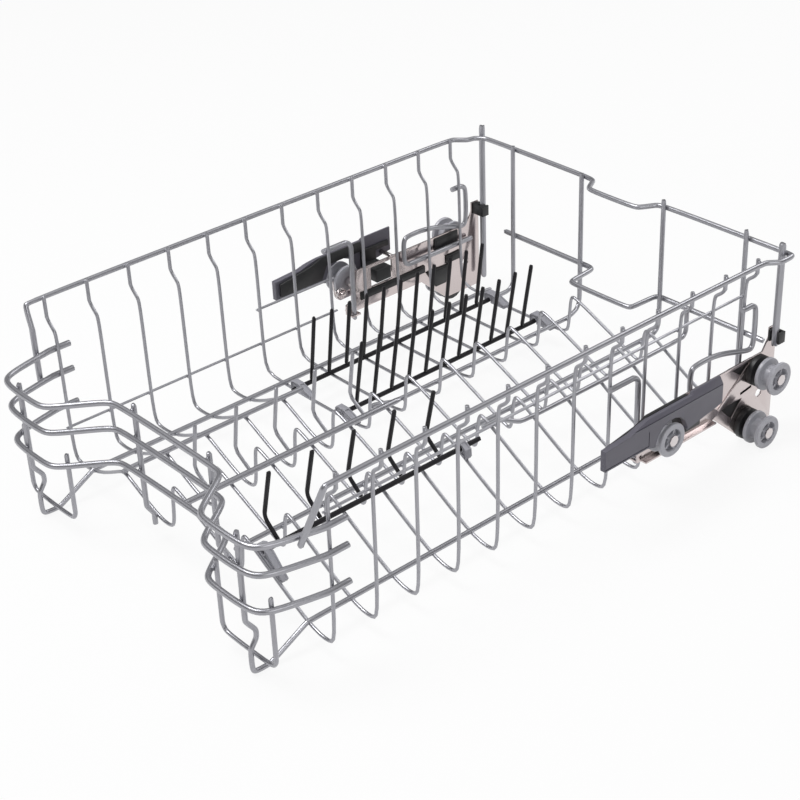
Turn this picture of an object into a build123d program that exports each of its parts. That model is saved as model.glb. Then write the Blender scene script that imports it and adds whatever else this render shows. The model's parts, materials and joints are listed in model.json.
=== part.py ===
from build123d import *
from math import atan2, cos, radians, sin, tan
import os

os.makedirs("parts", exist_ok=True)

# Upper dishwasher basket: wire frame, three fold-down tine rows and a roller carriage on each side.
# x runs to the right, y to the back, z up. The basket stands on its front feet and its lower rollers.

# Wire radii
cross_r = 1.5
rail_r = 2.0
rim_r = 2.25
front_r = 2.4
centre_r = 2.4
guide_r = 2.25
post_r = 2.0
corner_post_r = 2.75
back_r = 2.25
loop_r = 1.75
side_r = 1.1
tine_r = 1.6
weld_gap = 0.05
bend_r = 5.0

# Sections: eight flats on heavy wire, six on the many thin ones, more on what turns
heavy_sides = 8
thin_sides = 6
heavy_corner = 1 / cos(radians(180 / heavy_sides))
thin_corner = 1 / cos(radians(180 / thin_sides))

# Cross wires
pitch = 39.0
front_wires = 5
rear_wires = 7
first_wire_y = -201.0
wire_y = [first_wire_y + pitch * row for row in range(front_wires + rear_wires)]
last_wire_y = wire_y[-1]
wall_x = 164.5
rim_flare = 14.8
rim_x = wall_x + rim_flare
rim_z = 159.0
stub_x = rim_x - rim_r * heavy_corner - cross_r - weld_gap
stub_top_z = rim_z + 3.0
left_kink_z = 132.0
left_kink_rise = 9.0
right_kink_z = 140.0
right_kink_rise = 7.0
floor_z = 17.5
right_floor_z = 13.5

# Steps of the floor: a riser, then a slope down to the next riser
riser_1_x = -25.0
hump_1_x = riser_1_x + 2.0
hump_z = 61.0
riser_2_x = 60.0
riser_2_z = 21.5
hump_2_x = riser_2_x + 3.0
slope_end_x = wall_x - 27.5
slope = atan2(hump_z - right_floor_z, slope_end_x - hump_2_x)
left_hump_start_x = -131.0
left_hump_x = -89.5
left_hump_z = 41.0
left_hump_end_x = -46.5

# Front rails, with two lobes and a recessed middle
front_rail_heights = (118.0, 95.5, 65.6)
front_side_x = wall_x + cross_r + front_r + weld_gap
front_end_y = first_wire_y + 13
front_kink_y = first_wire_y - 6
lobe_y = first_wire_y - 57.5
lobe_out_x = wall_x - 7.5
lobe_in_x = lobe_out_x - 60.0
recess_x = lobe_in_x - 29.0
recess_y = first_wire_y - 14.0
lobe_bend_r = 17.0

# Back of the basket
back_gap = 28.75
rim_back_y = last_wire_y + back_gap
post_y = rim_back_y - rim_r * heavy_corner - post_r - weld_gap
back_wire_z = 74.0
row_post_x = -wall_x + 45.5
left_post_x = riser_1_x - 10.0
middle_post_x = riser_2_x - 2.3
right_post_x = wall_x - 20.5
corner_left = (-rim_x + 14.3, rim_back_y + 1.5)
corner_right = (rim_x + 0.9, rim_back_y - (rim_r + corner_post_r) * heavy_corner)
corner_low_z = (16.0, 78.0)

# Floor rails
foot_rail_x = lobe_in_x + 38.0
left_foot_rail_z = floor_z + cross_r + rail_r + weld_gap
right_foot_rail_z = 19.2
left_post_rail = (riser_1_x - 3.1, 33.0)
middle_post_rail_z = 43.0
right_rail_x = 88.0
right_rail_lift = 4.25
centre_rail = (-0.5, 54.9)
left_hump_rail = (-86.0, 43.2)

# Fold-down tine rows
row_rail_z = floor_z + cross_r + rail_r + 0.5
row_x = (row_post_x, -60.0)
row_front_y = wire_y[front_wires]
row_start_y = (row_front_y - 6, row_front_y + 1)
row_end_y = last_wire_y - 4
row_foot_y = last_wire_y - 2
row_tines = 11
row_tine_pitch = pitch / 2
row_first_y = row_front_y + 15
row_tine_rise = 66.0
row_tine_lean = (9.5, 12.0)
tine_start = rail_r * heavy_corner + weld_gap
clip_bore_r = 2.5
clip_wall = 3.5
clip_height = 9.0
clip_tail = 20.0
clip_length = 12.0
rear_clip_length = 16.0
crank_x = 86.0
crank_lift = 6.15
crank_start_y = first_wire_y + 4
crank_end_y = row_front_y + 18
crank_tines = 5
crank_first_y = first_wire_y + 16
crank_knee = (-16.5, 14.0)
crank_top = (-6.0, 57.0)
crank_z = hump_z - (crank_x - hump_2_x) * tan(slope) + crank_lift / cos(slope)

# Height adjuster on the right; the left one is its mirror image
guide_x = wall_x + cross_r + guide_r
guide_front_y = wire_y[-5] + 28
guide_front_z = (29.0, 107.0)
guide_rear_y = last_wire_y + 11.5
guide_rear_z = (60.0, 88.5, 116.0)
guide_fit = 0.55
plate_gap = 2.5
plate_x = guide_x + guide_r + plate_gap
plate_t = 1.5
plate_out_x = plate_x + plate_t
plate_top_z = 72.5
plate_low_z = 33.0
plate_foot_z = 6.0
plate_front_y = guide_front_y + 4
plate_rear_y = rim_back_y + 3.25
flange_out = 7.0
hook_top_z = 92.0
hook_w = 9.0
axle_r = 2.5
axle_fit = 0.08
axle_gap = 0.3
collar_r = 4.5
roller_r = 14.0
roller_w = 15.2
roller_in_x = plate_out_x + 9.1
roller_out_x = roller_in_x + roller_w
roller_flange_w = 3.4
groove_r = 9.0
roller_sides = 20
axle_sides = 16
front_roller = (guide_front_y + 7, 59.5)
upper_roller = (plate_rear_y - 23, 59.5)
lower_roller = (plate_rear_y - 33.5, roller_r)
back_disc_r = roller_r - 0.6
back_disc_w = 5.0
back_disc_flat = 10.0
lever_t = 5.2
lever_out_x = roller_out_x - 1.3
lever_in_x = lever_out_x - lever_t
lever_wall = 2.2
lever_pocket = 2.0
lever_front_y = front_roller[0] - 74.4
lever_rear_y = front_roller[0] + 59.2
lever_top_z = 90.2
lever_notch = 2.4
lever_crease_z = 84.5
lever_low_z = 60.4
arch_r = roller_r + 4.0
lever_pivot = (front_roller[0] + 48, plate_top_z - 3.3)
pin_r = 2.0
pin_depth = 3.6
latch_centre = (front_roller[0] + 31, 60.0)
latch_size = (17.0, 12.0)
latch_in_x = plate_x - 3.5
slider_t = 2.5
slider_rise = 0.5
window_gap = 4.0
window_rise = 3.5
spring_centre = (guide_front_y - 7, 53.5)
spring_r = 5.5
spring_wire_r = 0.7
spring_fit = 0.6
shoe_z = (81.0, 91.0)
shoe_fit = 0.5
shoe_wall = 2.4


def rounded(corners, radius, step=45):
    """Replace each corner of a route by the chords of a round bend."""
    points = [Vector(*corner) for corner in corners]
    route = [points[0]]
    for before, corner, after in zip(points, points[1:], points[2:]):
        back = (before - corner).normalized()
        ahead = (after - corner).normalized()
        turn = 180 - back.get_angle(ahead)
        chords = round(turn / step)
        if chords == 0:
            route.append(corner)
            continue
        start = corner + back * (radius * tan(radians(turn / 2)))
        centre = corner + (back + ahead).normalized() * (radius / cos(radians(turn / 2)))
        swing = Axis((0, 0, 0), ahead.cross(back))
        for count in range(chords + 1):
            route.append(centre + (start - centre).rotate(swing, turn * count / chords))
    route.append(points[-1])
    return route


def bent_wire(route, radius, side, sides=heavy_sides):
    """Sweep a flat-sided section along a route; one flat faces square to the side direction."""
    with BuildPart() as wire:
        with BuildLine() as path:
            Polyline(*route)
        with BuildSketch(Plane(origin=path.line @ 0, x_dir=side, z_dir=path.line % 0)):
            RegularPolygon(radius, sides, major_radius=False, rotation=90 - 180 / sides)
        sweep(transition=Transition.RIGHT)
    return wire.part


def side_plane(x):
    """Upright plane at x, drawn in y and z, facing to the right."""
    return Plane(origin=(x, 0, 0), x_dir=(0, 1, 0), z_dir=(1, 0, 0))


# Cross wires: left wall, stepped floor and right wall in one bent wire
left_wall = [
    (-stub_x, 0, stub_top_z),
    (-stub_x, 0, left_kink_z + left_kink_rise),
    (-wall_x, 0, left_kink_z),
    (-wall_x, 0, floor_z),
]
left_hump = [
    (left_hump_start_x, 0, floor_z),
    (left_hump_x, 0, left_hump_z),
    (left_hump_end_x, 0, floor_z),
]
floor_and_right_wall = [
    (riser_1_x, 0, floor_z),
    (hump_1_x, 0, hump_z),
    (riser_2_x, 0, riser_2_z),
    (hump_2_x, 0, hump_z),
    (slope_end_x, 0, right_floor_z),
    (wall_x, 0, right_floor_z),
    (wall_x, 0, right_kink_z),
    (stub_x, 0, right_kink_z + right_kink_rise),
    (stub_x, 0, stub_top_z),
]
front_route = rounded(left_wall + left_hump + floor_and_right_wall, bend_r, 70)
rear_route = rounded(left_wall + floor_and_right_wall, bend_r, 70)

with BuildPart() as cross_wires_front:
    with Locations(*[(0, y, 0) for y in wire_y[:front_wires]]):
        add(bent_wire(front_route, cross_r, (0, 1, 0), thin_sides))
cross_wires_front.part.label = "cross_wires_front"
export_step(cross_wires_front.part, "parts/cross_wires_front.step")

with BuildPart() as cross_wires_rear:
    with Locations(*[(0, y, 0) for y in wire_y[front_wires:]]):
        add(bent_wire(rear_route, cross_r, (0, 1, 0), thin_sides))
cross_wires_rear.part.label = "cross_wires_rear"
export_step(cross_wires_rear.part, "parts/cross_wires_rear.step")

# Rim: left leg, left side, back with a recess, loop round the corner post, right side and right leg
leg_x = front_side_x - 2 + (front_r + rim_r) * heavy_corner
rim_recess_y = rim_back_y - 18.75
rim_loop_x = rim_x + 8.7
rim_route = [
    (-leg_x, recess_y - 2, front_rail_heights[1] - 2),
    (-leg_x, recess_y - 2, rim_z - 19),
    (-rim_x, recess_y - 1, rim_z),
    (-rim_x, rim_back_y - 24.75, rim_z),
    (-rim_x + 11.8, rim_back_y - 14.75, rim_z),
    (-rim_x + 13.3, rim_back_y - 6.75, rim_z),
    (-rim_x + 22.3, rim_back_y, rim_z),
    (-24, rim_back_y, rim_z),
    (-15, rim_recess_y, rim_z),
    (40.5, rim_recess_y, rim_z),
    (50, rim_back_y, rim_z),
    (rim_loop_x, rim_back_y, rim_z),
    (rim_loop_x, rim_back_y - 16.75, rim_z),
    (rim_x, rim_back_y - 26.75, rim_z),
    (rim_x, recess_y + 2, rim_z),
    (front_side_x + 0.95, recess_y - 14, front_rail_heights[0] - 4),
]
with BuildPart() as rim_wire:
    add(bent_wire(rounded(rim_route, 4), rim_r, (1, 0, 0)))
rim_wire.part.label = "rim_wire"
export_step(rim_wire.part, "parts/rim_wire.step")

# Front rails, one above the other
right_half = [
    (recess_x, recess_y, 0),
    (lobe_in_x, lobe_y, 0),
    (lobe_out_x, lobe_y, 0),
    (front_side_x, front_kink_y, 0),
    (front_side_x, front_end_y, 0),
]
left_half = [(-x, y, z) for x, y, z in reversed(right_half)]
front_route = rounded(left_half + right_half, lobe_bend_r, 34)
with BuildPart() as front_rails:
    with Locations(*[(0, 0, height) for height in front_rail_heights]):
        add(bent_wire(front_route, front_r, (0, 0, 1)))
front_rails.part.label = "front_rails"
export_step(front_rails.part, "parts/front_rails.step")

# Foot rails: floor rail, front foot and front upright in one wire
upright_y = lobe_y + front_r + rail_r + weld_gap
with BuildPart() as foot_rails:
    for x, rail_z in ((-foot_rail_x, left_foot_rail_z), (foot_rail_x, right_foot_rail_z)):
        foot_route = [
            (x, last_wire_y + 10, rail_z),
            (x, first_wire_y - 2, rail_z),
            (x, first_wire_y - 35, rail_r),
            (x, upright_y + 2, rail_r),
            (x, upright_y + 2, 22),
            (x, upright_y + 8, 30),
            (x, upright_y + 8, 37),
            (x, upright_y, 47),
            (x, upright_y, front_rail_heights[0] + 4),
        ]
        add(bent_wire(rounded(foot_route, 4), rail_r, (1, 0, 0)))
foot_rails.part.label = "foot_rails"
export_step(foot_rails.part, "parts/foot_rails.step")

# Foot loops between the side walls of each lobe
loop_y = lobe_y + 13
loop_low_z = 13.0
with BuildPart() as foot_loops:
    for side in (-1, 1):
        loop_route = [
            (side * (lobe_in_x - 2.9), loop_y, front_rail_heights[2] + 8),
            (side * (lobe_in_x - 2.9), loop_y, loop_low_z),
            (side * (lobe_out_x - 2.1), loop_y, loop_low_z),
            (side * (lobe_out_x - 2.1), loop_y, front_rail_heights[2] + 8),
        ]
        add(bent_wire(rounded(loop_route, 7), loop_r, (0, 1, 0)))
foot_loops.part.label = "foot_loops"
export_step(foot_loops.part, "parts/foot_loops.step")

# Recess uprights, bent back to the first cross wire
recess_upright_y = recess_y + front_r + rail_r + weld_gap
recess_foot_y = first_wire_y - cross_r * thin_corner - rail_r - weld_gap
recess_upright_x = 46.5
with BuildPart() as recess_uprights:
    for side, foot_z in ((-1, 14), (1, 25)):
        upright_route = [
            (side * recess_upright_x, recess_upright_y, front_rail_heights[0] + 5),
            (side * recess_upright_x, recess_upright_y, foot_z + 18),
            (side * recess_upright_x, recess_foot_y, foot_z + 10),
            (side * recess_upright_x, recess_foot_y, foot_z),
        ]
        add(bent_wire(rounded(upright_route, 4), rail_r, (1, 0, 0)))
recess_uprights.part.label = "recess_uprights"
export_step(recess_uprights.part, "parts/recess_uprights.step")

# Plain floor rails on the left hump and the first slope
with BuildPart() as left_hump_rail_wire:
    hump_x, hump_rail_z = left_hump_rail
    hump_end_y = wire_y[front_wires - 1]
    hump_route = [Vector(hump_x, first_wire_y - 3, hump_rail_z), Vector(hump_x, hump_end_y + 19, hump_rail_z)]
    add(bent_wire(hump_route, rail_r, (1, 0, 0)))
left_hump_rail_wire.part.label = "left_hump_rail"
export_step(left_hump_rail_wire.part, "parts/left_hump_rail.step")

with BuildPart() as centre_rail_wire:
    centre_x, centre_z = centre_rail
    centre_route = [Vector(centre_x, first_wire_y - 6, centre_z), Vector(centre_x, row_front_y + 12, centre_z)]
    add(bent_wire(centre_route, centre_r, (1, 0, 0)))
centre_rail_wire.part.label = "centre_rail"
export_step(centre_rail_wire.part, "parts/centre_rail.step")

# Post rails: back post and floor rail in one wire
left_rail_x, left_rail_z = left_post_rail
left_post_route = [
    (left_rail_x - 8, row_front_y + 12, left_rail_z),
    (left_rail_x - 8, row_front_y + 18, left_rail_z),
    (left_rail_x, row_front_y + 30, left_rail_z),
    (left_rail_x, last_wire_y + 2, left_rail_z),
    (left_post_x, post_y, left_rail_z),
    (left_post_x, post_y, rim_z + 4),
]
middle_post_route = [
    (middle_post_x, first_wire_y - 4, middle_post_rail_z),
    (middle_post_x, post_y, middle_post_rail_z),
    (middle_post_x, post_y, rim_z + 8),
]
with BuildPart() as post_rails:
    add(bent_wire(rounded(left_post_route, 9, 30), rail_r, (1, 0, 0)))
    add(bent_wire(rounded(middle_post_route, 9, 30), rail_r, (1, 0, 0)))
post_rails.part.label = "post_rails"
export_step(post_rails.part, "parts/post_rails.step")

# Right rail on the second slope, hooked up behind to the back wire
right_rail_z = hump_z - (right_rail_x - hump_2_x) * tan(slope) + right_rail_lift / cos(slope)
right_rail_step = 9.0
right_rail_rise = right_rail_step * tan(slope)
right_rail_route = [
    (right_rail_x - right_rail_step, row_front_y + 28, right_rail_z + right_rail_rise),
    (right_rail_x - right_rail_step, row_front_y + 46, right_rail_z + right_rail_rise),
    (right_rail_x, row_front_y + 62, right_rail_z),
    (right_rail_x, post_y, right_rail_z),
    (right_rail_x, post_y, back_wire_z + 3),
]
with BuildPart() as right_rail_wire:
    add(bent_wire(rounded(right_rail_route, 7, 30), rail_r, (1, 0, 0)))
right_rail_wire.part.label = "right_rail"
export_step(right_rail_wire.part, "parts/right_rail.step")

# Back wire with a recess
back_route = [
    (row_post_x - 15, rim_back_y, back_wire_z),
    (-22.5, rim_back_y, back_wire_z),
    (-20.5, last_wire_y - 5, back_wire_z),
    (50, last_wire_y - 5, back_wire_z),
    (50.5, rim_back_y, back_wire_z),
    (right_post_x + 21, rim_back_y, back_wire_z),
]
with BuildPart() as back_wire:
    add(bent_wire(rounded(back_route, bend_r), back_r, (0, 0, 1)))
back_wire.part.label = "back_wire"
export_step(back_wire.part, "parts/back_wire.step")

# Back posts, each with its foot turned forward onto the last cross wire
with BuildPart() as back_posts:
    for x, foot_z, top_z in (
        (row_post_x, row_rail_z, rim_z + 5),
        (right_post_x, right_floor_z + cross_r + post_r + weld_gap, rim_z + 9),
    ):
        post_route = [
            (x, post_y, top_z),
            (x, post_y, foot_z),
            (x, row_foot_y, foot_z),
        ]
        add(bent_wire(rounded(post_route, 9, 30), post_r, (1, 0, 0)))
back_posts.part.label = "back_posts"
export_step(back_posts.part, "parts/back_posts.step")

# Corner posts, the right one ending at the shoe of its carriage
with BuildPart() as corner_posts:
    for corner, low_z in zip((corner_left, corner_right), corner_low_z):
        corner_route = [Vector(*corner, rim_z + 10), Vector(*corner, low_z)]
        add(bent_wire(corner_route, corner_post_r, (1, 0, 0)))
corner_posts.part.label = "corner_posts"
export_step(corner_posts.part, "parts/corner_posts.step")

# Thin wires along the walls: two outside the left wall, one inside the right wall
left_wire_x = -(wall_x + cross_r + side_r + weld_gap)
right_wire_x = wall_x - cross_r - side_r - weld_gap
with BuildPart() as side_wires:
    for x, z, start_y, end_y in (
        (left_wire_x, 46, first_wire_y - 2, wire_y[-5] + 8),
        (left_wire_x, 79, row_front_y - 2, wire_y[-5] + 6),
        (right_wire_x, 124.5, first_wire_y - 2, last_wire_y + 3),
    ):
        add(bent_wire([Vector(x, start_y, z), Vector(x, end_y, z)], side_r, (0, 0, 1), thin_sides))
side_wires.part.label = "side_wires"
export_step(side_wires.part, "parts/side_wires.step")

# Fixed tines in front of the first riser
fixed_tine_y = -(cross_r * thin_corner + cross_r + weld_gap)
fixed_tine_route = rounded(
    [(riser_1_x + 0.5, 0, 33), (riser_1_x - 20, 0, 46.5), (riser_1_x - 13, 0, 89)],
    bend_r,
)
with BuildPart() as fixed_tines:
    with Locations(*[(0, y + fixed_tine_y, 0) for y in wire_y[1 : front_wires + 1]]):
        add(bent_wire(fixed_tine_route, cross_r, (0, 1, 0), thin_sides))
fixed_tines.part.label = "fixed_tines"
export_step(fixed_tines.part, "parts/fixed_tines.step")

# Guide wires of the adjusters, outside each wall
guide_front_low_z, guide_front_top_z = guide_front_z
guide_front_route = [
    (0, wire_y[-5] - 4, guide_front_top_z),
    (0, guide_front_y, guide_front_top_z),
    (0, guide_front_y, guide_front_low_z),
]
guide_low_z, guide_mid_z, guide_top_z = guide_rear_z
guide_rear_route = [
    (0, last_wire_y - 6, guide_top_z),
    (0, guide_rear_y, guide_top_z),
    (0, guide_rear_y, guide_mid_z - 16),
    (0, wire_y[-2] + 6, guide_mid_z),
    (0, wire_y[-3] + 11.5, guide_mid_z),
    (0, wire_y[-3] + 11.5, guide_low_z),
    (0, guide_rear_y + 6.5, guide_low_z),
]
for name, guide_route in (("guide_wires_front", guide_front_route), ("guide_wires_rear", guide_rear_route)):
    with BuildPart() as guide_wires:
        with Locations((-guide_x, 0, 0), (guide_x, 0, 0)):
            add(bent_wire(rounded(guide_route, 6), guide_r, (1, 0, 0)))
    guide_wires.part.label = name
    export_step(guide_wires.part, f"parts/{name}.step")

# Tine rows 1 and 2: a rail with leaning tines, and the wedge clips that hold it down on the floor
clip_z = floor_z + cross_r + weld_gap
clip_side = clip_bore_r + clip_wall
for number, x, start_y, lean in zip((1, 2), row_x, row_start_y, row_tine_lean):
    tine_way = Vector(lean, 0, row_tine_rise)
    tine_foot = Vector(x, 0, row_rail_z)
    tine_route = [tine_foot + tine_way.normalized() * tine_start, tine_foot + tine_way]
    with BuildPart() as tine_row:
        rail_route = [Vector(x, start_y, row_rail_z), Vector(x, row_end_y, row_rail_z)]
        add(bent_wire(rail_route, rail_r, (1, 0, 0)))
        with Locations(*[(0, row_first_y + row_tine_pitch * count, 0) for count in range(row_tines)]):
            add(bent_wire(tine_route, tine_r, (0, 1, 0), thin_sides))
    tine_row.part.label = f"tine_row_{number}"
    export_step(tine_row.part, f"parts/tine_row_{number}.step")

    with BuildPart() as row_clips:
        for clip_y, length in (
            (row_front_y + clip_length / 2, clip_length),
            (row_end_y + rear_clip_length / 2, rear_clip_length),
        ):
            with BuildSketch(Plane.XZ.offset(-clip_y)):
                with BuildLine():
                    Polyline(
                        (x - clip_side, clip_z),
                        (x + clip_tail, clip_z),
                        (x + clip_tail, clip_z + clip_height / 3),
                        (x + clip_side - 1, clip_z + clip_height),
                        (x - clip_side + 2, clip_z + clip_height),
                        (x - clip_side, clip_z + clip_height - 2),
                        close=True,
                    )
                make_face()
                with Locations((x, clip_z)):
                    Rectangle(2 * clip_bore_r, row_rail_z - clip_z,
                              align=(Align.CENTER, Align.MIN), mode=Mode.SUBTRACT)
                with Locations((x, row_rail_z)):
                    RegularPolygon(clip_bore_r, 8, major_radius=False, rotation=22.5, mode=Mode.SUBTRACT)
            extrude(amount=length)
    row_clips.part.label = f"row_{number}_clips"
    export_step(row_clips.part, f"parts/row_{number}_clips.step")

# Tine row 3: a rail on the second slope with cranked tines
crank_foot = Vector(crank_x, 0, crank_z)
crank_bend = crank_foot + Vector(crank_knee[0], 0, crank_knee[1])
crank_start = crank_foot + (crank_bend - crank_foot).normalized() * tine_start
crank_route = rounded([crank_start, crank_bend, crank_foot + Vector(crank_top[0], 0, crank_top[1])], 7, 30)
with BuildPart() as tine_row_3:
    rail_route = [Vector(crank_x, crank_start_y, crank_z), Vector(crank_x, crank_end_y, crank_z)]
    add(bent_wire(rail_route, rail_r, (1, 0, 0)))
    with Locations(*[(0, crank_first_y + pitch * count, 0) for count in range(crank_tines)]):
        add(bent_wire(crank_route, tine_r, (0, 1, 0), thin_sides))
tine_row_3.part.label = "tine_row_3"
export_step(tine_row_3.part, "parts/tine_row_3.step")

# Brackets of row 3, lying along the slope of a cross wire: a long one in front and a short one behind
bracket_low = cross_r * thin_corner + weld_gap - crank_lift
bracket_top = clip_bore_r + 1.5
down_slope = Vector(cos(slope), 0, -sin(slope))
with BuildPart() as row_3_clips:
    for clip_y, reach in ((first_wire_y + 6, 26), (row_front_y, 9)):
        corner = Vector(crank_x, clip_y + clip_length / 2, crank_z)
        with BuildSketch(Plane(origin=corner, x_dir=down_slope, z_dir=(0, -1, 0))):
            with BuildLine():
                Polyline(
                    (-7, bracket_low),
                    (reach, bracket_low),
                    (reach, bracket_low + 3),
                    (clip_bore_r + 2.5, bracket_top),
                    (-clip_bore_r - 1.5, bracket_top),
                    (-7, bracket_low + 4),
                    close=True,
                )
            make_face()
            RegularPolygon(clip_bore_r, 8, major_radius=False, rotation=22.5, mode=Mode.SUBTRACT)
        extrude(amount=clip_length)
row_3_clips.part.label = "row_3_clips"
export_step(row_3_clips.part, "parts/row_3_clips.step")

# Carriage plate: a sheet with windows, a rib, a lower flange with a guide eye, a spring peg and a rear hook
eye_front_y = guide_front_y - 5
eye_in_x = guide_x - guide_r - 1
arm_y = plate_rear_y - 74
with BuildPart() as plate_right:
    with BuildSketch(side_plane(plate_x)):
        with BuildLine():
            Polyline(
                (plate_front_y, plate_top_z),
                (plate_rear_y - hook_w - 7, plate_top_z),
                (plate_rear_y - hook_w, plate_top_z + 11),
                (plate_rear_y - hook_w, hook_top_z),
                (plate_rear_y, hook_top_z),
                (plate_rear_y, plate_foot_z),
                (plate_rear_y - 43.5, plate_foot_z),
                (arm_y, plate_low_z),
                (eye_front_y, plate_low_z),
                (eye_front_y, plate_low_z + 9),
                (plate_front_y, plate_low_z + 13),
                close=True,
            )
        make_face()
        with Locations((spring_centre[0], spring_centre[1])):
            Rectangle(plate_front_y - spring_centre[0] + 1, 6, align=(Align.MIN, Align.CENTER))
            RegularPolygon(3, 8, major_radius=False)
        with Locations(latch_centre):
            Rectangle(latch_size[0] + 2 * window_gap, latch_size[1] + 2 * window_rise, mode=Mode.SUBTRACT)
        with BuildLine():
            Polyline(
                (plate_rear_y - 54, plate_top_z - 2.5),
                (plate_rear_y - 31, plate_top_z - 2.5),
                (plate_rear_y - 42.5, plate_top_z - 11),
                close=True,
            )
        make_face(mode=Mode.SUBTRACT)
        with BuildLine():
            Polyline(
                (plate_rear_y - 65, plate_low_z + 5),
                (plate_rear_y - 59.4, plate_low_z + 6),
                (plate_rear_y - 39, plate_low_z + 6),
                (plate_rear_y - 51.3, plate_low_z - 8.6),
                close=True,
            )
        make_face(mode=Mode.SUBTRACT)
        with Locations((plate_rear_y - 17.4, plate_low_z + 2)):
            RegularPolygon(4, 8, mode=Mode.SUBTRACT)
        with Locations((plate_rear_y - 34.5, plate_low_z + 11.5)):
            Rectangle(14, 2.4, rotation=8, mode=Mode.SUBTRACT)
    extrude(amount=plate_t)
    with BuildSketch(side_plane(plate_out_x)):
        with Locations((plate_rear_y - 54.5, plate_low_z + 18)):
            Rectangle(37, 2.5, rotation=35)
    extrude(amount=1.2)
    with BuildSketch(side_plane(plate_out_x)):
        with Locations(spring_centre):
            RegularPolygon(spring_r - spring_wire_r - spring_fit, 12)
    extrude(amount=6)
    with BuildSketch(Plane.XY.offset(plate_low_z)):
        with Locations((plate_x, eye_front_y + 4)):
            Rectangle(flange_out, arm_y - eye_front_y - 7, align=(Align.MIN, Align.MIN))
        with Locations((plate_x, eye_front_y)):
            Rectangle(plate_x - eye_in_x, 10, align=(Align.MAX, Align.MIN))
        with Locations((guide_x, guide_front_y)):
            Rectangle(2 * (guide_r + guide_fit), 2 * (guide_r + guide_fit), mode=Mode.SUBTRACT)
    extrude(amount=plate_t)
plate_right.part.label = "carriage_plate_right"

# Roller axles with a collar at the plate and a head outside
with BuildPart() as axles_right:
    for centre in (front_roller, upper_roller, lower_roller):
        with BuildSketch(side_plane(plate_out_x)):
            with Locations(centre):
                RegularPolygon(collar_r, heavy_sides)
        extrude(amount=roller_in_x - axle_gap - plate_out_x)
        with BuildSketch(side_plane(roller_in_x - axle_gap)):
            with Locations(centre):
                RegularPolygon(axle_r, axle_sides)
        extrude(amount=roller_w + 2 * axle_gap)
        with BuildSketch(side_plane(roller_out_x + axle_gap)):
            with Locations(centre):
                RegularPolygon(axle_r + 1.2, heavy_sides)
        extrude(amount=1.2)
axles_right.part.label = "roller_axles_right"

# Grooved roller, turned about its axle, with pockets in the outer face
roller_parts = []
for name, centre in (
    ("front_roller", front_roller),
    ("upper_roller", upper_roller),
    ("lower_roller", lower_roller),
):
    with BuildPart() as roller:
        for start_x, radius, width in (
            (roller_in_x, roller_r, roller_flange_w),
            (roller_in_x + roller_flange_w, groove_r, roller_w - 2 * roller_flange_w),
            (roller_out_x - roller_flange_w, roller_r, roller_flange_w),
        ):
            with BuildSketch(side_plane(start_x)):
                with Locations(centre):
                    RegularPolygon(radius, roller_sides, major_radius=False, rotation=180 / roller_sides)
            extrude(amount=width)
        with BuildSketch(side_plane(roller_in_x)):
            with Locations(centre):
                RegularPolygon(axle_r + axle_fit, axle_sides, major_radius=False)
        extrude(amount=roller_w, mode=Mode.SUBTRACT)
        with BuildSketch(side_plane(roller_out_x)):
            with Locations(centre):
                with PolarLocations((roller_r + axle_r) / 2, 5):
                    Rectangle(3.6, 5)
        extrude(amount=-2.6, mode=Mode.SUBTRACT)
    roller.part.label = f"{name}_right"
    roller_parts.append(roller)

# Release lever: a shallow cover with a creased and notched top and an arch over the front roller
with BuildPart() as lever_right:
    with BuildSketch(side_plane(lever_in_x)) as lever_face:
        with BuildLine():
            Polyline(
                (lever_front_y, lever_low_z + 3),
                (lever_front_y, lever_crease_z - 3.3),
                (lever_front_y + 28, lever_crease_z - 1.5),
                (lever_front_y + 38, lever_crease_z + 1.5),
                (lever_front_y + 48, lever_top_z - lever_notch),
                (lever_rear_y - 35, lever_top_z - lever_notch),
                (lever_rear_y - 34, lever_top_z),
                (lever_rear_y, lever_top_z),
                (lever_rear_y, lever_low_z + 6.9),
                (front_roller[0] + arch_r, lever_low_z),
                (front_roller[0] - arch_r, lever_low_z),
                (front_roller[0] - arch_r - 10, lever_low_z + 3),
                close=True,
            )
        make_face()
        with Locations(front_roller):
            RegularPolygon(arch_r, 16, major_radius=False, rotation=11.25, mode=Mode.SUBTRACT)
    extrude(amount=lever_t)
    with BuildSketch(side_plane(lever_in_x)):
        add(lever_face.sketch)
        offset(amount=-lever_wall, kind=Kind.INTERSECTION, mode=Mode.REPLACE)
        with Locations(lever_pivot):
            RegularPolygon(pin_r + 3, 8, mode=Mode.SUBTRACT)
    extrude(amount=lever_pocket, mode=Mode.SUBTRACT)
    with BuildSketch(Plane.XZ.offset(-lever_rear_y - 1)):
        with BuildLine():
            Polyline(
                (lever_out_x, lever_crease_z),
                (lever_out_x + 1, lever_crease_z),
                (lever_out_x + 1, lever_top_z + 1),
                (lever_out_x - 0.8 * lever_t, lever_top_z + 1),
                close=True,
            )
        make_face()
    extrude(amount=lever_rear_y - lever_front_y + 2, mode=Mode.SUBTRACT)
    with BuildSketch(side_plane(lever_in_x)):
        with Locations(lever_pivot):
            RegularPolygon(pin_r + axle_fit, axle_sides, major_radius=False)
    extrude(amount=pin_depth + axle_gap, mode=Mode.SUBTRACT)
lever_right.part.label = "lever_right"

with BuildPart() as pin_right:
    with BuildSketch(side_plane(plate_out_x)):
        with Locations(lever_pivot):
            RegularPolygon(pin_r, axle_sides)
    extrude(amount=lever_in_x + pin_depth - plate_out_x)
pin_right.part.label = "lever_pin_right"

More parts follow.
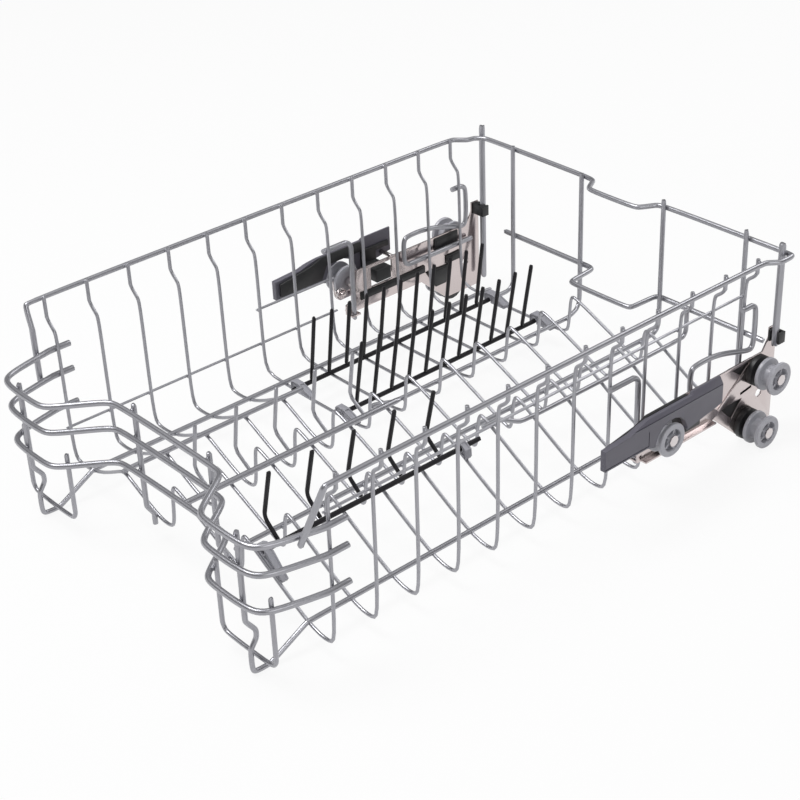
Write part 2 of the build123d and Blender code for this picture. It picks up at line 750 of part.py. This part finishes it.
# Latch: a slider behind the lever that shows in its notch, and a block through the window of the plate
latch_out_x = lever_in_x - weld_gap
latch_front_y = latch_centre[0] - latch_size[0] / 2
latch_rear_y = latch_centre[0] + latch_size[0] / 2
arch_top_z = front_roller[1] + arch_r + 1.5
slider_top_z = lever_top_z - lever_notch + slider_rise
with BuildPart() as latch_right:
    with BuildSketch(side_plane(latch_out_x - slider_t)):
        with BuildLine():
            Polyline(
                (lever_front_y + 4, lever_low_z + 6),
                (lever_front_y + 4, lever_crease_z - 6),
                (front_roller[0] - 35, lever_crease_z - 0.5),
                (front_roller[0] - 23, slider_top_z),
                (front_roller[0] + 22, slider_top_z),
                (front_roller[0] + 26, lever_top_z - 11),
                (lever_rear_y - 4, lever_top_z - 11),
                (lever_rear_y - 4, lever_pivot[1] + pin_r + 3),
                (latch_rear_y, lever_pivot[1] + pin_r + 3),
                (latch_rear_y, latch_centre[1]),
                (latch_front_y, latch_centre[1]),
                (latch_front_y, arch_top_z),
                (front_roller[0] - arch_r, arch_top_z),
                (front_roller[0] - arch_r - 6, lever_low_z + 6),
                close=True,
            )
        make_face()
    extrude(amount=slider_t)
    with BuildSketch(side_plane(latch_in_x)):
        with Locations(latch_centre):
            Rectangle(*latch_size)
    extrude(amount=latch_out_x - latch_in_x)
latch_right.part.label = "latch_right"

# Torsion spring on the peg of the plate: a coil and a leg
spring_turn = 8
spring_turns = 2
spring_rise = 2.0
coil = []
for count in range(spring_turn * spring_turns + 1):
    spoke = Vector(0, -spring_r, 0).rotate(Axis.X, -360 * count / spring_turn)
    climb = plate_out_x + spring_wire_r * thin_corner + weld_gap + spring_rise * count / spring_turn
    coil.append(Vector(climb, spring_centre[0], spring_centre[1]) + spoke)
coil.append(coil[-1] + Vector(0.5, -1, 14))
with BuildPart() as spring_right:
    add(bent_wire(coil, spring_wire_r, (1, 0, 0), thin_sides))
spring_right.part.label = "spring_right"

for moved in (plate_right, axles_right, lever_right, pin_right, latch_right, spring_right, *roller_parts):
    right_name = moved.part.label
    export_step(moved.part, f"parts/{right_name}.step")
    left_name = right_name.replace("right", "left")
    with BuildPart() as mirrored:
        mirror(moved.part, about=Plane.YZ)
    mirrored.part.label = left_name
    export_step(mirrored.part, f"parts/{left_name}.step")

# Guide shoes: a fork on each corner post, and a disc behind each rear roller
shoe_low_z, shoe_high_z = shoe_z
slot_half = corner_post_r + shoe_fit
for name, side, plate_face_x, post, mouth in (
    ("left", -1, -plate_x, corner_left, 1),
    ("right", 1, plate_out_x, corner_right, -1),
):
    fork_end_x = post[0] + slot_half + shoe_wall
    fork_back_y = post[1] - mouth * (slot_half + shoe_wall)
    fork_mouth_y = post[1] + mouth * (slot_half - 1)
    with BuildPart() as shoes:
        with BuildSketch(Plane.XY.offset(shoe_low_z)):
            with Locations(((plate_face_x + fork_end_x) / 2, (fork_back_y + fork_mouth_y) / 2)):
                Rectangle(fork_end_x - plate_face_x, abs(fork_mouth_y - fork_back_y))
            with Locations((post[0], post[1] + mouth * shoe_wall)):
                Rectangle(2 * slot_half, 2 * (slot_half + shoe_wall), mode=Mode.SUBTRACT)
        extrude(amount=shoe_high_z - shoe_low_z)
        for centre in (upper_roller, lower_roller):
            with BuildSketch(side_plane(side * plate_out_x)):
                with Locations(centre):
                    RegularPolygon(back_disc_r, axle_sides)
                    RegularPolygon(collar_r + axle_gap, heavy_sides, mode=Mode.SUBTRACT)
                with Locations((centre[0] + back_disc_flat, centre[1])):
                    Rectangle(roller_r, 2 * roller_r, align=(Align.MIN, Align.CENTER), mode=Mode.SUBTRACT)
            extrude(amount=side * back_disc_w)
    shoes.part.label = f"guide_shoe_{name}"
    export_step(shoes.part, f"parts/guide_shoe_{name}.step")
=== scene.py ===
import json
import math

import bpy
from mathutils import Matrix, Vector
from mathutils.bvhtree import BVHTree


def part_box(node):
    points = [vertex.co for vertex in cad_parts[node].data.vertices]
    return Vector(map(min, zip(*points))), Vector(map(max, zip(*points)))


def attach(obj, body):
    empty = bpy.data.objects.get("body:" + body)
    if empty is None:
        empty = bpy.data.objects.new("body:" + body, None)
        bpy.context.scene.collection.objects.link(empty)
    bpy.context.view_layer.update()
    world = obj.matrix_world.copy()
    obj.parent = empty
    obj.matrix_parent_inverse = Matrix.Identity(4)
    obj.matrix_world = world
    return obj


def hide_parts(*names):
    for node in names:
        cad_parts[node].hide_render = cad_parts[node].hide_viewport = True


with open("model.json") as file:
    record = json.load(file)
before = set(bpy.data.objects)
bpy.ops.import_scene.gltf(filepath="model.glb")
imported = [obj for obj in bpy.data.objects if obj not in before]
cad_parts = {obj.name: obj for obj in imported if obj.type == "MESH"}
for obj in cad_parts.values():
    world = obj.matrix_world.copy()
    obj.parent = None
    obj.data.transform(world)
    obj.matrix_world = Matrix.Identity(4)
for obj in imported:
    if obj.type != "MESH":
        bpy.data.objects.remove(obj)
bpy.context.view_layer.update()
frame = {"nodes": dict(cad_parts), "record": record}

MM = 0.001
ORIGIN = (0, 0, 0)


# Finishes

COAT_ROUGHNESS = 0.2
GRAIN_DEPTH = 0.2 * MM
PATCH_DETAIL = 3.0
GRAIN_DETAIL = 2.0


class Level:
    """A socket of a finish, with the arithmetic that the finishes use."""

    def __init__(self, socket):
        self.socket = socket

    def math(self, operation, first, second):
        tree = self.socket.id_data
        return add_node(tree, "ShaderNodeMath", {"operation": operation}, {0: first, 1: second})

    def __add__(self, other):
        return self.math("ADD", self, other)

    __radd__ = __add__

    def __mul__(self, other):
        return self.math("MULTIPLY", self, other)

    __rmul__ = __mul__

    def __sub__(self, other):
        return self.math("SUBTRACT", self, other)

    def __rsub__(self, other):
        return self.math("SUBTRACT", other, self)


def add_node(tree, kind, settings, sockets, output=0):
    """Add a node, make its settings, fill its sockets with values or links, and wrap one output."""
    node = tree.nodes.new(kind)
    for key, value in settings.items():
        setattr(node, key, value)
    for key, value in sockets.items():
        if isinstance(value, Level):
            tree.links.new(value.socket, node.inputs[key])
        else:
            node.inputs[key].default_value = value
    return Level(node.outputs[output])


def noise(tree, scale, detail, stretch):
    """Noise on the object's own coordinates, in metres."""
    place = add_node(tree, "ShaderNodeTexCoord", {}, {}, "Object")
    drawn = add_node(tree, "ShaderNodeMapping", {}, {"Vector": place, "Scale": stretch}, "Vector")
    sockets = {"Vector": drawn, "Scale": scale, "Detail": detail}
    return add_node(tree, "ShaderNodeTexNoise", {}, sockets, "Fac")


def between(tree, mask, low, high):
    """Blend two colours by a mask."""
    sockets = {"Factor": mask, 6: (*low, 1), 7: (*high, 1)}
    return add_node(tree, "ShaderNodeMix", {"data_type": "RGBA"}, sockets, 2)


def finish(name, low, high, rough, spread, metal=0.0, grain=900, bump=0.04, patch=45,
           stretch=(1, 1, 1), coat=0.0, gleam=0.5):
    """A finish with patchy colour, uneven gloss and a fine grain."""
    material = bpy.data.materials.new(name)
    material.use_nodes = True
    tree = material.node_tree
    shader = tree.nodes["Principled BSDF"]
    shader.inputs["Metallic"].default_value = metal
    shader.inputs["Specular IOR Level"].default_value = gleam
    shader.inputs["Coat Weight"].default_value = coat
    shader.inputs["Coat Roughness"].default_value = COAT_ROUGHNESS
    patches = noise(tree, patch, PATCH_DETAIL, stretch)
    fine = noise(tree, grain, GRAIN_DETAIL, stretch)
    heights = {"Height": fine, "Strength": bump, "Distance": GRAIN_DEPTH}
    relief = add_node(tree, "ShaderNodeBump", {}, heights, "Normal")
    tree.links.new(between(tree, patches, low, high).socket, shader.inputs["Base Color"])
    tree.links.new((rough + spread * (fine - 0.5)).socket, shader.inputs["Roughness"])
    tree.links.new(relief.socket, shader.inputs["Normal"])
    return material


FINISHES = {
    "wire": finish("satin_grey_coat", (0.33, 0.33, 0.355), (0.40, 0.40, 0.43), 0.29, 0.04,
                   metal=0.72, grain=120, bump=0.004),
    "tine": finish("anthracite_coat", (0.010, 0.0095, 0.0115), (0.017, 0.016, 0.019), 0.36, 0.12,
                   gleam=0.22),
    "plate": finish("bright_sheet", (0.52, 0.455, 0.45), (0.68, 0.61, 0.60), 0.18, 0.12,
                    metal=1.0, grain=400, bump=0.05, patch=20, stretch=(1, 0.08, 1)),
    "steel": finish("turned_steel", (0.60, 0.56, 0.56), (0.74, 0.69, 0.69), 0.24, 0.10,
                    metal=1.0),
    "lever": finish("slate_plastic", (0.098, 0.094, 0.118), (0.118, 0.113, 0.139), 0.40, 0.12,
                    grain=2200, bump=0.10),
    "roller": finish("grey_plastic", (0.34, 0.34, 0.375), (0.40, 0.40, 0.435), 0.30, 0.10,
                     grain=1600, bump=0.03, coat=0.15),
    "clip": finish("pale_grey_plastic", (0.25, 0.25, 0.28), (0.31, 0.31, 0.34), 0.45, 0.10,
                   grain=1600, bump=0.06),
    "shoe": finish("black_plastic", (0.010, 0.010, 0.011), (0.018, 0.018, 0.020), 0.45, 0.12,
                   grain=2000, bump=0.08),
}
BODIES = frame["record"]["behaviour"]["bodies"]
SLOT_OF = {part["node"]: part["material_slot"] for part in frame["record"]["subparts"]}
BODY_OF = {node: body for body, nodes in BODIES.items() for node in nodes}


# Handwork that every piece uses

MERGE_REACH = 0.004 * MM
FLAT_ANGLE = math.radians(0.5)
FACING = 0.9


def linked(name, data):
    """A new object of the scene."""
    thing = bpy.data.objects.new(name, data)
    bpy.context.scene.collection.objects.link(thing)
    return thing


def only(piece):
    """In object mode, select one object and nothing else."""
    if bpy.context.mode != "OBJECT":
        bpy.ops.object.mode_set(mode="OBJECT")
    bpy.ops.object.select_all(action="DESELECT")
    piece.select_set(True)
    bpy.context.view_layer.objects.active = piece


def nothing():
    """In object mode, select nothing at all."""
    only(frame["nodes"]["rim_wire"])
    bpy.ops.object.select_all(action="DESELECT")


def all_of(piece):
    """In edit mode, select the whole mesh of a piece."""
    only(piece)
    bpy.ops.object.mode_set(mode="EDIT")
    bpy.ops.mesh.select_all(action="SELECT")


def pick_faces(piece, wanted):
    """In edit mode, select the faces whose middle and normal pass a test."""
    only(piece)
    bpy.ops.object.mode_set(mode="EDIT")
    bpy.ops.mesh.select_mode(type="FACE")
    bpy.ops.mesh.select_all(action="DESELECT")
    bpy.ops.object.mode_set(mode="OBJECT")
    for face in piece.data.polygons:
        face.select = wanted(face.center, face.normal)
    bpy.ops.object.mode_set(mode="EDIT")


def pulled(move):
    """Extrude what is selected, and move it."""
    bpy.ops.mesh.extrude_region()
    bpy.ops.transform.translate(value=move)


def sunk(wall, depth):
    """Inset the selected faces by a wall, and push them in."""
    bpy.ops.mesh.inset(thickness=wall, depth=0)
    bpy.ops.mesh.extrude_region_shrink_fatten(TRANSFORM_OT_shrink_fatten={"value": -depth})


def modified(piece, kind, **settings):
    """Add a modifier, set it and apply it."""
    only(piece)
    modifier = piece.modifiers.new(kind.lower(), kind)
    for key, value in settings.items():
        setattr(modifier, key, value)
    bpy.ops.object.modifier_apply(modifier=modifier.name)


def smoothed(piece, angle):
    """Shade a piece smooth, up to an angle between faces."""
    only(piece)
    bpy.ops.object.shade_smooth_by_angle(angle=math.radians(angle))


def bevelled(piece, width, corner=35, smooth=32):
    """Bevel the edges that are sharper than a corner, and shade the piece smooth."""
    modified(piece, "BEVEL", width=width, segments=2, limit_method="ANGLE",
             angle_limit=math.radians(corner))
    smoothed(piece, smooth)


def block(name, low, high):
    """A cube between two corners in millimetres, with its place in its mesh."""
    nothing()
    low = Vector([value * MM for value in low])
    high = Vector([value * MM for value in high])
    bpy.ops.mesh.primitive_cube_add(size=1, location=(low + high) / 2, scale=high - low)
    bpy.ops.object.transform_apply(location=True, rotation=True, scale=True)
    piece = bpy.context.object
    piece.name = name
    return piece


def taken_from(node, name):
    """A merged copy of a CAD node's mesh, all selected, to be worked on as a piece of its own."""
    piece = linked(name, frame["nodes"][node].data.copy())
    only(piece)
    bpy.ops.mesh.customdata_custom_splitnormals_clear()
    all_of(piece)
    bpy.ops.mesh.remove_doubles(threshold=MERGE_REACH)
    return piece


def dressed(piece, node):
    """Give a piece the finish of its node's slot and the node's body, and hide the node."""
    piece.data.materials.clear()
    piece.data.materials.append(FINISHES[SLOT_OF[node]])
    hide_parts(node)
    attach(piece, BODY_OF[node])


# Wires, and the edges of cut, turned and moulded pieces

CAP_ANGLE = math.radians(70)
CAP_CREASE = 0.75
COPLANAR = math.radians(1)
WIRE_SMOOTH = 50
EASED_EDGE = {"plate": 0.2 * MM, "steel": 0.3 * MM, "lever": 0.6 * MM, "shoe": 0.4 * MM}


def round_wire(node):
    """Round off a node's flat-sided wires, with ends that are nearly square."""
    piece = taken_from(node, node + "_round")
    bpy.ops.mesh.tris_convert_to_quads(face_threshold=COPLANAR, shape_threshold=math.pi)
    bpy.ops.mesh.select_all(action="DESELECT")
    bpy.ops.mesh.edges_select_sharp(sharpness=CAP_ANGLE)
    bpy.ops.transform.edge_crease(value=CAP_CREASE)
    modified(piece, "SUBSURF", levels=2, render_levels=2)
    smoothed(piece, WIRE_SMOOTH)
    dressed(piece, node)


def eased(node, corner=35):
    """Ease the sharp edges of a node by the width that its slot has."""
    piece = taken_from(node, node + "_eased")
    bpy.ops.mesh.dissolve_limited(angle_limit=FLAT_ANGLE)
    bevelled(piece, EASED_EDGE[SLOT_OF[node]], corner, corner - 3)
    dressed(piece, node)
    return piece


# Welds: a small bead of coating wherever two wires of the basket meet

PITCH = 39
FIRST_WIRE_Y = -201
CROSS_WIRES = ("cross_wires_front", "cross_wires_rear")
CROSS_WIRE_Y = [(FIRST_WIRE_Y + PITCH * count) * MM for count in range(12)]
LONG_WIRES = (
    "rim_wire",
    "foot_rails",
    "left_hump_rail",
    "centre_rail",
    "post_rails",
    "right_rail",
    "side_wires",
)
FRONT_POSTS = ("foot_rails", "foot_loops", "recess_uprights", "rim_wire")
FRONT_RAIL_Z = [height * MM for height in (118, 95.5, 65.6)]
BACK_POSTS = ("back_posts", "post_rails", "corner_posts")
BACK_WIRE_Z = [74 * MM]
Y_AXIS = 1
Z_AXIS = 2
SAME_WIRE = 8 * MM
LEAST_REACH = 0.3
WELD_GAP = 0.7 * MM
BEAD_RADIUS = 1.9 * MM
BEAD_FLATNESS = 0.5


def cut_middles(node, axis, level):
    """The middle and half width of each wire of a node where a level plane cuts it."""
    mesh = frame["nodes"][node].data
    groups = []
    for edge in mesh.edges:
        first, second = [mesh.vertices[end].co for end in edge.vertices]
        if (first[axis] - level) * (second[axis] - level) >= 0:
            continue
        point = first.lerp(second, (level - first[axis]) / (second[axis] - first[axis]))
        near = [group for group in groups if (group[0] - point).length < SAME_WIRE]
        if near:
            near[0].append(point)
        else:
            groups.append([point])
    found = []
    for group in groups:
        low = Vector([min(values) for values in zip(*group)])
        high = Vector([max(values) for values in zip(*group)])
        found.append(((low + high) / 2, max(high - low) / 2))
    return found


def meeting_points(nodes, axis, levels, others):
    """Where wires of some nodes touch wires of other nodes, and the way from one to the other."""
    trees = []
    for other in others:
        mesh = frame["nodes"][other].data
        corners = [corner.co for corner in mesh.vertices]
        trees.append(BVHTree.FromPolygons(corners, [face.vertices for face in mesh.polygons]))
    found = []
    for node in nodes:
        for level in levels:
            for middle, radius in cut_middles(node, axis, level):
                for tree in trees:
                    touch, _, _, distance = tree.find_nearest(middle)
                    if LEAST_REACH * radius < distance < radius + WELD_GAP:
                        found.append((touch, (touch - middle).normalized()))
    return found


def weld_beads():
    """One flattened bead, copied to each meeting point of the basket's wires."""
    points = meeting_points(LONG_WIRES, Y_AXIS, CROSS_WIRE_Y, CROSS_WIRES)
    points += meeting_points(FRONT_POSTS, Z_AXIS, FRONT_RAIL_Z, ["front_rails"])
    points += meeting_points(BACK_POSTS, Z_AXIS, BACK_WIRE_Z, ["back_wire"])
    nothing()
    bpy.ops.mesh.primitive_ico_sphere_add(subdivisions=2, radius=BEAD_RADIUS)
    model = bpy.context.object
    all_of(model)
    bpy.ops.transform.resize(value=(1, 1, BEAD_FLATNESS), center_override=ORIGIN)
    only(model)
    bpy.ops.object.shade_smooth()
    beads = []
    for touch, way in points:
        bead = linked("bead", model.data.copy())
        turn = way.to_track_quat("Z", "Y").to_matrix().to_4x4()
        bead.matrix_world = Matrix.Translation(touch) @ turn
        beads.append(bead)
    bpy.data.objects.remove(model)
    only(beads[0])
    for bead in beads:
        bead.select_set(True)
    bpy.ops.object.transform_apply(location=True, rotation=True, scale=True)
    bpy.ops.object.join()
    piece = bpy.context.object
    piece.name = "weld_beads"
    piece.data.materials.append(FINISHES["wire"])
    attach(piece, "basket")


# Rollers: turned from a ring, with pockets between five spokes in the outer face.
# The profile gives place and radius in millimetres, and ends at the inner end of the bore.

ROLLER_PROFILE = [
    (-7.6, 13.4), (-7.1, 14.0), (-4.7, 14.0), (-4.2, 13.6), (-3.9, 9.4), (-3.5, 9.0), (3.5, 9.0),
    (3.9, 9.4), (4.2, 13.6), (4.7, 14.0), (7.0, 14.0), (7.6, 13.4), (7.6, 9.5), (7.2, 9.1),
    (6.3, 8.8), (6.3, 4.9), (6.6, 4.6), (7.4, 4.6), (7.6, 4.4), (7.6, 2.7), (-7.6, 2.7),
]
ROLLER_SIDES = 50
ROLLER_MERGE = 0.01 * MM
ROLLER_EDGE = 0.2 * MM
SPOKES = 5
HALF_SPOKE = 0.1
POCKET_INNER = 4.9
POCKET_OUTER = 8.8
POCKET_TOP = 6.6 * MM
POCKET_DEPTH = 3.2 * MM


def in_pocket(middle, normal):
    """Whether a face of the sunk ring lies between two spokes."""
    radius = math.hypot(middle.y, middle.z) / MM
    turn = math.atan2(middle.z, middle.y) / math.tau * SPOKES % 1
    sunk_ring = normal.x > FACING and middle.x < POCKET_TOP
    return sunk_ring and POCKET_INNER < radius < POCKET_OUTER and HALF_SPOKE < turn < 1 - HALF_SPOKE


def turned_roller():
    """One roller about the origin, its outer face towards +x."""
    nothing()
    place, radius = ROLLER_PROFILE[-1]
    ring = {"vertices": ROLLER_SIDES, "radius": radius * MM, "fill_type": "NOTHING"}
    upright = (0, math.pi / 2, 0)
    bpy.ops.mesh.primitive_circle_add(location=(place * MM, 0, 0), rotation=upright, **ring)
    piece = bpy.context.object
    piece.name = "roller_model"
    bpy.ops.object.transform_apply(location=True, rotation=True, scale=True)
    all_of(piece)
    for next_place, next_radius in ROLLER_PROFILE:
        pulled(((next_place - place) * MM, 0, 0))
        growth = next_radius / radius
        bpy.ops.transform.resize(value=(1, growth, growth), center_override=ORIGIN)
        place, radius = next_place, next_radius
    bpy.ops.mesh.select_all(action="SELECT")
    bpy.ops.mesh.remove_doubles(threshold=ROLLER_MERGE)
    bpy.ops.mesh.normals_make_consistent(inside=False)
    pick_faces(piece, in_pocket)
    pulled((-POCKET_DEPTH, 0, 0))
    bevelled(piece, ROLLER_EDGE, 50, 40)
    return piece


def set_in_place(model, node):
    """A copy of the roller where a roller node is, its pockets facing out."""
    low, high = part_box(node)
    middle = (low + high) / 2
    piece = linked(node + "_turned", model.data.copy())
    all_of(piece)
    if middle.x < 0:
        bpy.ops.transform.rotate(value=math.pi, orient_axis="Z", center_override=ORIGIN)
    bpy.ops.transform.translate(value=middle)
    only(piece)
    dressed(piece, node)


# Clips: narrowed to the moulding's own width, with a pocket in each side and one in the slope

CLIP_SHARE = 0.5
CLIP_EDGE = 0.35 * MM
SIDE_WALL = 0.9 * MM
SIDE_DEPTH = 1.0 * MM
SLOPE_WALL = 1.1 * MM
SLOPE_DEPTH = 0.9 * MM


def moulded_clips(node):
    """The two clips of a tine row. The long bracket of row 3 keeps its front side on its wire."""
    piece = taken_from(node, node + "_moulded")
    bpy.ops.mesh.dissolve_limited(angle_limit=FLAT_ANGLE)
    low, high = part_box(node)
    split = (low.y + high.y) / 2
    for behind in (False, True):
        only(piece)
        corners = [corner.co.y for corner in piece.data.vertices]
        places = [place for place in corners if (place > split) == behind]
        long_bracket = node == "row_3_clips" and not behind
        kept = min(places) if long_bracket else (min(places) + max(places)) / 2
        pick_faces(piece, lambda point, normal: (point.y > split) == behind)
        bpy.ops.transform.resize(value=(1, CLIP_SHARE, 1), center_override=(0, kept, 0))
    pick_faces(piece, lambda point, normal: abs(normal.y) > FACING)
    sunk(SIDE_WALL, SIDE_DEPTH)
    pick_faces(piece, lambda point, normal: normal.z > 0.5 and normal.x > 0.2)
    sunk(SLOPE_WALL, SLOPE_DEPTH)
    bevelled(piece, CLIP_EDGE)
    dressed(piece, node)


# Levers: a groove along the crease, and an L-shaped one near the front. Cutters in millimetres.

LEVER_CORNER = 25
LEVER_SMOOTH = 22
CUT_FROM_X = 196.9
CUT_TO_X = 198.3
CREASE_LOW = (CUT_FROM_X, 31, 84.0)
CREASE_HIGH = (CUT_TO_X, 168, 84.6)
CORNER_LOW = (CUT_FROM_X, 80.3, 65.0)
CORNER_HIGH = (CUT_TO_X, 81.2, 65.9)
FRONT_RUN = -49 * MM
UPWARD_RUN = 12 * MM


def mirrored_in_x(piece):
    """Turn a piece over to the left side of the basket."""
    all_of(piece)
    bpy.ops.transform.resize(value=(-1, 1, 1), center_override=ORIGIN)
    bpy.ops.mesh.flip_normals()
    only(piece)


def grooved_lever(node):
    """A lever with its two grooves."""
    piece = eased(node, LEVER_CORNER)
    crease = block("crease_cutter", CREASE_LOW, CREASE_HIGH)
    corner = block("corner_cutter", CORNER_LOW, CORNER_HIGH)
    pick_faces(corner, lambda point, normal: normal.y < -FACING)
    pulled((0, FRONT_RUN, 0))
    pick_faces(corner, lambda point, normal: normal.z > FACING and point.y > 80 * MM)
    pulled((0, 0, UPWARD_RUN))
    for cutter in (crease, corner):
        if node.endswith("left"):
            mirrored_in_x(cutter)
        modified(piece, "BOOLEAN", operation="DIFFERENCE", object=cutter, solver="EXACT")
        bpy.data.objects.remove(cutter)
    smoothed(piece, LEVER_SMOOTH)


# Axles: outer heads spread by the riveting

HEAD_SPREAD = 1.3
HEAD_CLEAR = 0.2 * MM
HEAD_REACH = 14 * MM


def riveted_axles(node):
    """The three axles of a side, their outer heads spread."""
    piece = eased(node)
    for roller in ("front_roller", "upper_roller", "lower_roller"):
        low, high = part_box(node.replace("roller_axles", roller))
        middle = (low + high) / 2
        head_from = max(abs(low.x), abs(high.x)) + HEAD_CLEAR

        def on_head(point, normal):
            return abs(point.x) > head_from and (point - middle).length < HEAD_REACH

        pick_faces(piece, on_head)
        bpy.ops.transform.resize(value=(1, HEAD_SPREAD, HEAD_SPREAD), center_override=middle)
    only(piece)


# Black mouldings on the inner face of each carriage plate: a tray behind each window, and the
# latch's bar. Each has its front, low, back and high edges in millimetres, and a share of its
# length that its lower edge keeps.

TRAY_BACK_X = 171.7
PLATE_INNER_X = 173.0
LIP_WIDTH = 0.8 * MM
LIP_HEIGHT = 0.6 * MM
PANEL_INSET = 1.6 * MM
PANEL_RISE = 0.4 * MM
TRAY_EDGE = 0.15 * MM
FOOT_SHIFT = 2
BLACK_MOULDINGS = {
    "upper_tray": (203, 59.5, 232, 71.5, 1.0),
    "lower_tray": (192, 22.5, 224, 40.5, 0.4),
    "slot_tray": (217, 41.5, 235, 49.5, 1.0),
    "latch_bar": (112, 42.0, 190, 49.0, 1.0),
}


def black_moulding(name, side, front, low, back, high, foot):
    """A shallow tray with its lip on the plate, and its lower edge drawn in."""
    sign = 1 if side == "right" else -1
    near, far = sorted((sign * TRAY_BACK_X, sign * PLATE_INNER_X))
    piece = block(name + "_" + side, (near, front, low), (far, back, high))
    foot_middle = ((front + back) / 2 + FOOT_SHIFT) * MM
    pick_faces(piece, lambda point, normal: normal.z < -FACING)
    bpy.ops.transform.resize(value=(1, foot, 1), center_override=(0, foot_middle, 0))
    pick_faces(piece, lambda point, normal: normal.x * sign > FACING)
    bpy.ops.mesh.inset(thickness=LIP_WIDTH, depth=0)
    pulled((-sign * LIP_HEIGHT, 0, 0))
    pick_faces(piece, lambda point, normal: normal.x * sign < -FACING)
    bpy.ops.mesh.inset(thickness=PANEL_INSET, depth=0)
    pulled((-sign * PANEL_RISE, 0, 0))
    bevelled(piece, TRAY_EDGE)
    piece.data.materials.append(FINISHES["shoe"])
    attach(piece, "carriage_" + side)


# The whole basket

roller_model = turned_roller()
for node, slot in SLOT_OF.items():
    if slot in ("wire", "tine") or node.startswith("spring"):
        round_wire(node)
    elif slot == "roller":
        set_in_place(roller_model, node)
    elif slot == "clip":
        moulded_clips(node)
    elif slot == "lever":
        grooved_lever(node)
    elif node.startswith("roller_axles"):
        riveted_axles(node)
    else:
        eased(node)
bpy.data.objects.remove(roller_model)
weld_beads()
for side in ("left", "right"):
    for name, outline in BLACK_MOULDINGS.items():
        black_moulding(name, side, *outline)


# Floor: white to the camera and in reflections, with the object's shadow

FLOOR_SIZE = 80
FLOOR_Z = -0.3 * MM
FLOOR_GREY = (0.70, 0.70, 0.70, 1)
FLOOR_ROUGHNESS = 0.9
FLOOR_GLOW = 0.9
WHITE = (1, 1, 1, 1)

nothing()
bpy.ops.mesh.primitive_plane_add(size=FLOOR_SIZE, location=(0, 0, FLOOR_Z))
floor = bpy.context.object
floor.name = "floor"
floor_finish = bpy.data.materials.new("pale_floor")
floor_finish.use_nodes = True
floor_tree = floor_finish.node_tree
floor_shader = floor_tree.nodes["Principled BSDF"]
floor_shader.inputs["Base Color"].default_value = FLOOR_GREY
floor_shader.inputs["Roughness"].default_value = FLOOR_ROUGHNESS
shade = Level(floor_shader.outputs["BSDF"])
glow = add_node(floor_tree, "ShaderNodeEmission", {}, {"Color": WHITE, "Strength": 1.0})
seen = 0
for ray in ("Is Camera Ray", "Is Glossy Ray", "Is Transmission Ray"):
    seen = seen + add_node(floor_tree, "ShaderNodeLightPath", {}, {}, ray)
layers = {"Fac": FLOOR_GLOW * seen, 1: shade, 2: glow}
blend = add_node(floor_tree, "ShaderNodeMixShader", {}, layers)
floor_tree.links.new(blend.socket, floor_tree.nodes["Material Output"].inputs["Surface"])
floor.data.materials.append(floor_finish)


# Surroundings: a pale horizon, a dark band above it that the wires show, and a bright top

DARKEST = 0.03
HORIZON = 0.92
TOP = 0.65

world = bpy.data.worlds.new("studio")
bpy.context.scene.world = world
world.use_nodes = True
sky = world.node_tree
way = add_node(sky, "ShaderNodeTexCoord", {}, {}, "Generated")
height = add_node(sky, "ShaderNodeSeparateXYZ", {}, {"Vector": way}, "Z")
pale_edge = {"Value": height, "From Min": 0.13, "From Max": 0.22, "To Min": 1.0, "To Max": 0.0}
bright_top = {"Value": height, "From Min": 0.46, "From Max": 0.84}
horizon = add_node(sky, "ShaderNodeMapRange", {}, pale_edge, "Result")
zenith = add_node(sky, "ShaderNodeMapRange", {}, bright_top, "Result")
brightness = DARKEST + HORIZON * horizon + TOP * zenith
sky.links.new(brightness.socket, sky.nodes["Background"].inputs["Color"])
sky.nodes["Background"].inputs["Strength"].default_value = 1.0


# Lamps, all facing the middle of the basket

LIT_POINT = Vector((0, 0, 0.05))


def soft_box(name, place, size, power):
    """A square lamp that faces the basket."""
    lamp = bpy.data.lights.new(name, "AREA")
    lamp.size = size
    lamp.energy = power
    holder = linked(name, lamp)
    holder.location = place
    holder.rotation_euler = (LIT_POINT - Vector(place)).to_track_quat("-Z", "Y").to_euler()


soft_box("key", (-0.45, -0.6, 1.9), 0.9, 30)
soft_box("fill", (1.8, -0.5, 1.1), 0.9, 7)
soft_box("back", (0.2, 1.7, 1.4), 1.0, 10)


# Camera, as fitted to the photograph

AZIMUTH = math.radians(49.51)
ELEVATION = math.radians(30.73)
ROLL = math.radians(-2.37)
LENS = 79.59
SENSOR_WIDTH = 36
EYE = Vector((0.9277, -0.7860, 0.7795))
UPRIGHT = Vector((0, 0, 1))

right = Vector((math.cos(AZIMUTH), math.sin(AZIMUTH), 0))
level_ahead = Vector((-math.sin(AZIMUTH), math.cos(AZIMUTH), 0))
ahead = math.cos(ELEVATION) * level_ahead - math.sin(ELEVATION) * UPRIGHT
up = right.cross(ahead)
tilted_right = math.cos(ROLL) * right + math.sin(ROLL) * up
tilted_up = math.cos(ROLL) * up - math.sin(ROLL) * right
lens = bpy.data.cameras.new("camera")
lens.lens = LENS
lens.sensor_width = SENSOR_WIDTH
camera = linked("camera", lens)
turn = Matrix((tilted_right, tilted_up, -ahead)).transposed().to_4x4()
camera.matrix_world = Matrix.Translation(EYE) @ turn
bpy.context.scene.camera = camera
bpy.context.scene.view_settings.view_transform = "Standard"
